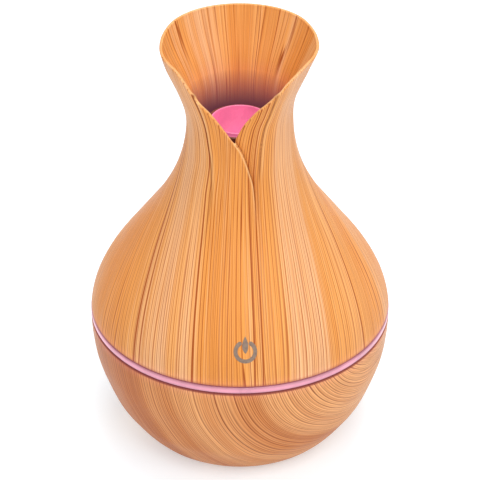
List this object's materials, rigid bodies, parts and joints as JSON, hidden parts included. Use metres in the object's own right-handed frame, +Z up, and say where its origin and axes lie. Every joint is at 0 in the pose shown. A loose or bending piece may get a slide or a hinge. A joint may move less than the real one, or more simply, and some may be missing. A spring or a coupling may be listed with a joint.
{
  "type": "essential oil diffuser",
  "caption": "Vase-shaped wood-grain ultrasonic diffuser: lift-off twist head with petal-fold mouth, glowing nozzle and light band, over a round water bowl.",
  "frame": {"origin": "on the vase's axis at the level of the feet's undersides", "axes": "+Z up along the vase's axis, -Y towards the front (the side with the mouth's notch and the power symbol), +X to the right as seen from the front"},
  "size_m": [0.098, 0.098, 0.142],
  "materials": {
    "wood_print": "injection-moulded ABS with a film-printed pine grain under a satin lacquer",
    "glow_plastic": "translucent polypropylene, lit pink from inside",
    "white_plastic": "natural white polypropylene, fine matt texture",
    "sleeve_plastic": "brown ABS, matt",
    "silicone": "translucent pale silicone",
    "foot_rubber": "dark grey rubber pad",
    "circuit_board": "green solder mask over glass-fibre board",
    "black_epoxy": "black moulded epoxy",
    "led_lens": "clear lens over a colour-changing light chip",
    "steel": "bright zinc-plated or stainless steel",
    "bronze": "phosphor-bronze leaf, bright",
    "aluminium_can": "drawn aluminium can",
    "piezo_ceramic": "fired piezo ceramic with silvered faces",
    "wick_fibre": "pressed white cotton fibre",
    "red_lead": "red silicone-insulated lead",
    "black_lead": "black silicone-insulated lead"
  },
  "bodies": {
    "tank": {"lower_bowl": "wood_print", "tank_liner": "white_plastic", "foot_1": "foot_rubber", "foot_2": "foot_rubber", "foot_3": "foot_rubber", "foot_4": "foot_rubber"},
    "seal": {"seal_ring": "silicone"},
    "head": {"upper_shell": "wood_print", "light_ring": "glow_plastic", "chassis": "white_plastic", "case_screw_1": "steel", "case_screw_2": "steel", "case_screw_3": "steel", "case_screw_4": "steel", "mist_sleeve": "sleeve_plastic", "nozzle_cup": "glow_plastic", "disc_cap": "white_plastic", "disc_gasket_upper": "silicone", "mesh_plate": "steel", "piezo_ring": "piezo_ceramic", "disc_gasket_lower": "silicone", "wick_tube": "white_plastic", "wick_cap": "white_plastic", "control_board": "circuit_board", "board_screw_1": "steel", "board_screw_2": "steel", "board_screw_3": "steel", "usb_socket": "steel", "usb_tongue": "black_epoxy", "ring_led_1": "led_lens", "ring_led_2": "led_lens", "ring_led_3": "led_lens", "ring_led_4": "led_lens", "ring_led_5": "led_lens", "ring_led_6": "led_lens", "nozzle_led_1": "led_lens", "nozzle_led_2": "led_lens", "inductor": "black_epoxy", "capacitor": "aluminium_can", "controller_chip": "black_epoxy", "disc_connector": "white_plastic", "touch_contact": "bronze", "disc_lead_red": "red_lead", "disc_lead_black": "black_lead"},
    "wick": {"wick": "wick_fibre", "wick_spring": "steel"}
  },
  "joints": [
    {"name": "head_lift", "type": "slide", "parent": "tank", "child": "seal", "axis": [0, 0, 1], "range_m": [0, 0.06]},
    {"name": "head_twist", "type": "hinge", "parent": "seal", "child": "head", "pos_m": [0, 0, 0.0485], "axis": [0, 0, -1], "range_deg": [0, 30]},
    {"name": "wick_press", "type": "slide", "parent": "head", "child": "wick", "axis": [0, 0, -1], "range_m": [0, 0.002], "stiffness_N_per_m": 200, "springref_m": -0.003, "deforming": ["wick_spring"]}
  ]
}
